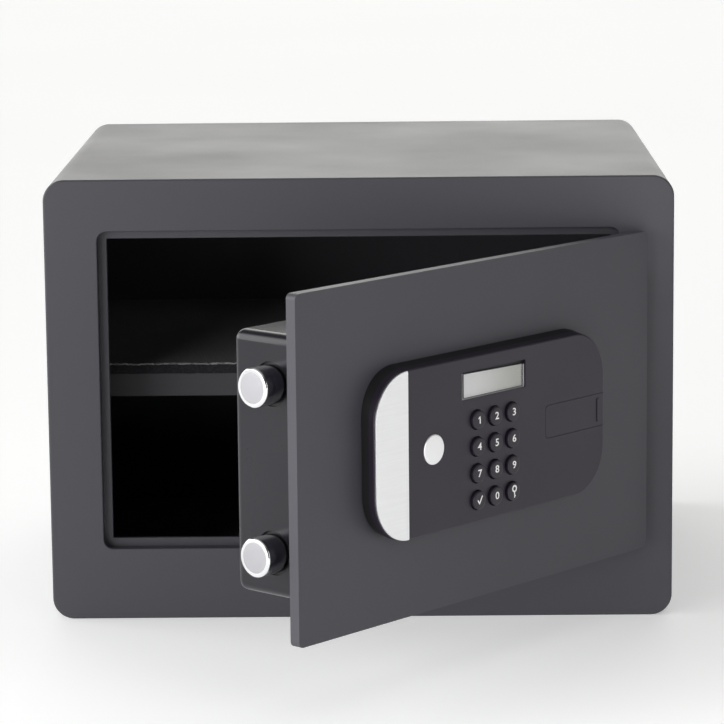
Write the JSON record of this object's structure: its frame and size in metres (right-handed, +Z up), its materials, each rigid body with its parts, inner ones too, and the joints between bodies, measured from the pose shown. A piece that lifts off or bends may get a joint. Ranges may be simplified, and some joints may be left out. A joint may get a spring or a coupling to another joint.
{
  "type": "electronic safe",
  "caption": "Compact home safe with an open hinged door, motor-driven twin bolts, a keypad housing with display and a covered override lock, and a felt-lined shelf.",
  "frame": {"origin": "centre of the cabinet's footprint, on the floor", "axes": "+Z up, +Y from the front towards the back, +X to the right, as seen from the front"},
  "size_m": [0.35, 0.5252, 0.25],
  "materials": {
    "cabinet_wrap": "fine textured powder coat, dark grey",
    "front_frame": "fine textured powder coat, dark grey",
    "door_stop": "fine textured powder coat, dark grey",
    "back_plate": "fine textured powder coat, dark grey",
    "bolt_strike": "powder coat, dark grey",
    "hinge_brackets": "powder coat, dark grey",
    "hinge_pins": "turned steel",
    "shelf": "powder coat, dark grey",
    "shelf_felt": "thin black felt",
    "shelf_brackets": "powder coat, dark grey",
    "floor_felt": "thin black felt",
    "door_plate": "fine textured powder coat, dark grey",
    "hinge_arms": "powder coat, dark grey",
    "lock_box": "satin black paint",
    "box_posts": "turned steel",
    "box_screws": "zinc plated",
    "guide_bushes": "black acetal",
    "gear_motor": "plated steel can",
    "motor_bracket": "zinc plated",
    "motor_screws": "zinc plated",
    "keypad_base": "moulded, fine matt",
    "keypad_cap": "moulded, fine satin",
    "end_plate": "brushed along its width",
    "blank_disc": "satin, blank",
    "lcd_window": "clear acrylic",
    "lcd_module": "pale grey-green display",
    "key_mat": "silicone",
    "key_board": "green circuit board",
    "keypad_screws": "zinc plated",
    "keypad_cable": "flat ribbon",
    "lock_housing": "satin chrome",
    "control_board": "green circuit board",
    "board_posts": "turned steel",
    "battery_tray": "moulded, matt",
    "batteries": null,
    "battery_contacts": "nickel plated",
    "lid_rails": "satin black paint",
    "lock_bolts": "satin chrome",
    "bolt_nuts": "zinc plated",
    "bolt_bar": "zinc plated",
    "drive_pinion": "cut brass",
    "key_1": "moulded, fine satin, white legend",
    "key_2": "moulded, fine satin, white legend",
    "key_3": "moulded, fine satin, white legend",
    "key_4": "moulded, fine satin, white legend",
    "key_5": "moulded, fine satin, white legend",
    "key_6": "moulded, fine satin, white legend",
    "key_7": "moulded, fine satin, white legend",
    "key_8": "moulded, fine satin, white legend",
    "key_9": "moulded, fine satin, white legend",
    "key_ok": "moulded, fine satin, white legend",
    "key_0": "moulded, fine satin, white legend",
    "key_lock": "moulded, fine satin, white legend",
    "override_cover": "moulded, fine satin",
    "lock_plug": "machined brass",
    "lock_cam": "zinc plated",
    "battery_lid": "moulded, matt",
    "reset_button": "moulded, red"
  },
  "bodies": {
    "cabinet": {"cabinet_wrap": "cabinet_wrap", "front_frame": "front_frame", "door_stop": "door_stop", "back_plate": "back_plate", "bolt_strike": "bolt_strike", "hinge_brackets": "hinge_brackets", "hinge_pins": "hinge_pins", "shelf": "shelf", "shelf_felt": "shelf_felt", "shelf_brackets": "shelf_brackets", "floor_felt": "floor_felt"},
    "door": {"door_plate": "door_plate", "hinge_arms": "hinge_arms", "lock_box": "lock_box", "box_posts": "box_posts", "box_screws": "box_screws", "guide_bushes": "guide_bushes", "gear_motor": "gear_motor", "motor_bracket": "motor_bracket", "motor_screws": "motor_screws", "keypad_base": "keypad_base", "keypad_cap": "keypad_cap", "end_plate": "end_plate", "blank_disc": "blank_disc", "lcd_window": "lcd_window", "lcd_module": "lcd_module", "key_mat": "key_mat", "key_board": "key_board", "keypad_screws": "keypad_screws", "keypad_cable": "keypad_cable", "lock_housing": "lock_housing", "control_board": "control_board", "board_posts": "board_posts", "battery_tray": "battery_tray", "batteries": "batteries", "battery_contacts": "battery_contacts", "lid_rails": "lid_rails"},
    "boltwork": {"lock_bolts": "lock_bolts", "bolt_nuts": "bolt_nuts", "bolt_bar": "bolt_bar"},
    "pinion": {"drive_pinion": "drive_pinion"},
    "key_1": {"key_1": "key_1"},
    "key_2": {"key_2": "key_2"},
    "key_3": {"key_3": "key_3"},
    "key_4": {"key_4": "key_4"},
    "key_5": {"key_5": "key_5"},
    "key_6": {"key_6": "key_6"},
    "key_7": {"key_7": "key_7"},
    "key_8": {"key_8": "key_8"},
    "key_9": {"key_9": "key_9"},
    "key_ok": {"key_ok": "key_ok"},
    "key_0": {"key_0": "key_0"},
    "key_lock": {"key_lock": "key_lock"},
    "cover": {"override_cover": "override_cover"},
    "override_lock": {"lock_plug": "lock_plug", "lock_cam": "lock_cam"},
    "lid": {"battery_lid": "battery_lid"},
    "reset": {"reset_button": "reset_button"}
  },
  "joints": [
    {"name": "door_hinge", "type": "hinge", "parent": "cabinet", "child": "door", "pos_m": [0.161, -0.1365, 0.13075], "axis": [0, 0, 1], "range_deg": [-49, 46]},
    {"name": "boltwork_slide", "type": "slide", "parent": "door", "child": "boltwork", "axis": [0.6561, 0.7547, 0], "range_m": [0, 0.012]},
    {"name": "pinion_spin", "type": "hinge", "parent": "door", "child": "pinion", "pos_m": [0.00946, -0.29786, 0.12835], "axis": [0, 0, 1], "range_deg": [-115, 0]},
    {"name": "key_1_press", "type": "slide", "parent": "door", "child": "key_1", "axis": [-0.7547, 0.6561, 0], "range_m": [0, 0.001], "stiffness_N_per_m": 300, "springref_m": -0.001},
    {"name": "key_2_press", "type": "slide", "parent": "door", "child": "key_2", "axis": [-0.7547, 0.6561, 0], "range_m": [0, 0.001], "stiffness_N_per_m": 300, "springref_m": -0.001},
    {"name": "key_3_press", "type": "slide", "parent": "door", "child": "key_3", "axis": [-0.7547, 0.6561, 0], "range_m": [0, 0.001], "stiffness_N_per_m": 300, "springref_m": -0.001},
    {"name": "key_4_press", "type": "slide", "parent": "door", "child": "key_4", "axis": [-0.7547, 0.6561, 0], "range_m": [0, 0.001], "stiffness_N_per_m": 300, "springref_m": -0.001},
    {"name": "key_5_press", "type": "slide", "parent": "door", "child": "key_5", "axis": [-0.7547, 0.6561, 0], "range_m": [0, 0.001], "stiffness_N_per_m": 300, "springref_m": -0.001},
    {"name": "key_6_press", "type": "slide", "parent": "door", "child": "key_6", "axis": [-0.7547, 0.6561, 0], "range_m": [0, 0.001], "stiffness_N_per_m": 300, "springref_m": -0.001},
    {"name": "key_7_press", "type": "slide", "parent": "door", "child": "key_7", "axis": [-0.7547, 0.6561, 0], "range_m": [0, 0.001], "stiffness_N_per_m": 300, "springref_m": -0.001},
    {"name": "key_8_press", "type": "slide", "parent": "door", "child": "key_8", "axis": [-0.7547, 0.6561, 0], "range_m": [0, 0.001], "stiffness_N_per_m": 300, "springref_m": -0.001},
    {"name": "key_9_press", "type": "slide", "parent": "door", "child": "key_9", "axis": [-0.7547, 0.6561, 0], "range_m": [0, 0.001], "stiffness_N_per_m": 300, "springref_m": -0.001},
    {"name": "key_ok_press", "type": "slide", "parent": "door", "child": "key_ok", "axis": [-0.7547, 0.6561, 0], "range_m": [0, 0.001], "stiffness_N_per_m": 300, "springref_m": -0.001},
    {"name": "key_0_press", "type": "slide", "parent": "door", "child": "key_0", "axis": [-0.7547, 0.6561, 0], "range_m": [0, 0.001], "stiffness_N_per_m": 300, "springref_m": -0.001},
    {"name": "key_lock_press", "type": "slide", "parent": "door", "child": "key_lock", "axis": [-0.7547, 0.6561, 0], "range_m": [0, 0.001], "stiffness_N_per_m": 300, "springref_m": -0.001},
    {"name": "cover_slide", "type": "slide", "parent": "door", "child": "cover", "axis": [0.6561, 0.7547, 0], "range_m": [0, 0.051]},
    {"name": "override_turn", "type": "hinge", "parent": "door", "child": "override_lock", "pos_m": [0.09387, -0.21144, 0.1295], "axis": [-0.7547, 0.6561, 0], "range_deg": [0, 90]},
    {"name": "lid_slide", "type": "slide", "parent": "door", "child": "lid", "axis": [-0.6561, -0.7547, 0], "range_m": [0, 0.1]},
    {"name": "reset_press", "type": "slide", "parent": "door", "child": "reset", "axis": [0.7547, -0.6561, 0], "range_m": [0, 0.0015], "stiffness_N_per_m": 300, "springref_m": -0.001}
  ],
  "couplings": [
    {"joint": "pinion_spin", "follows": "boltwork_slide", "rad_per_m": -166.67}
  ]
}
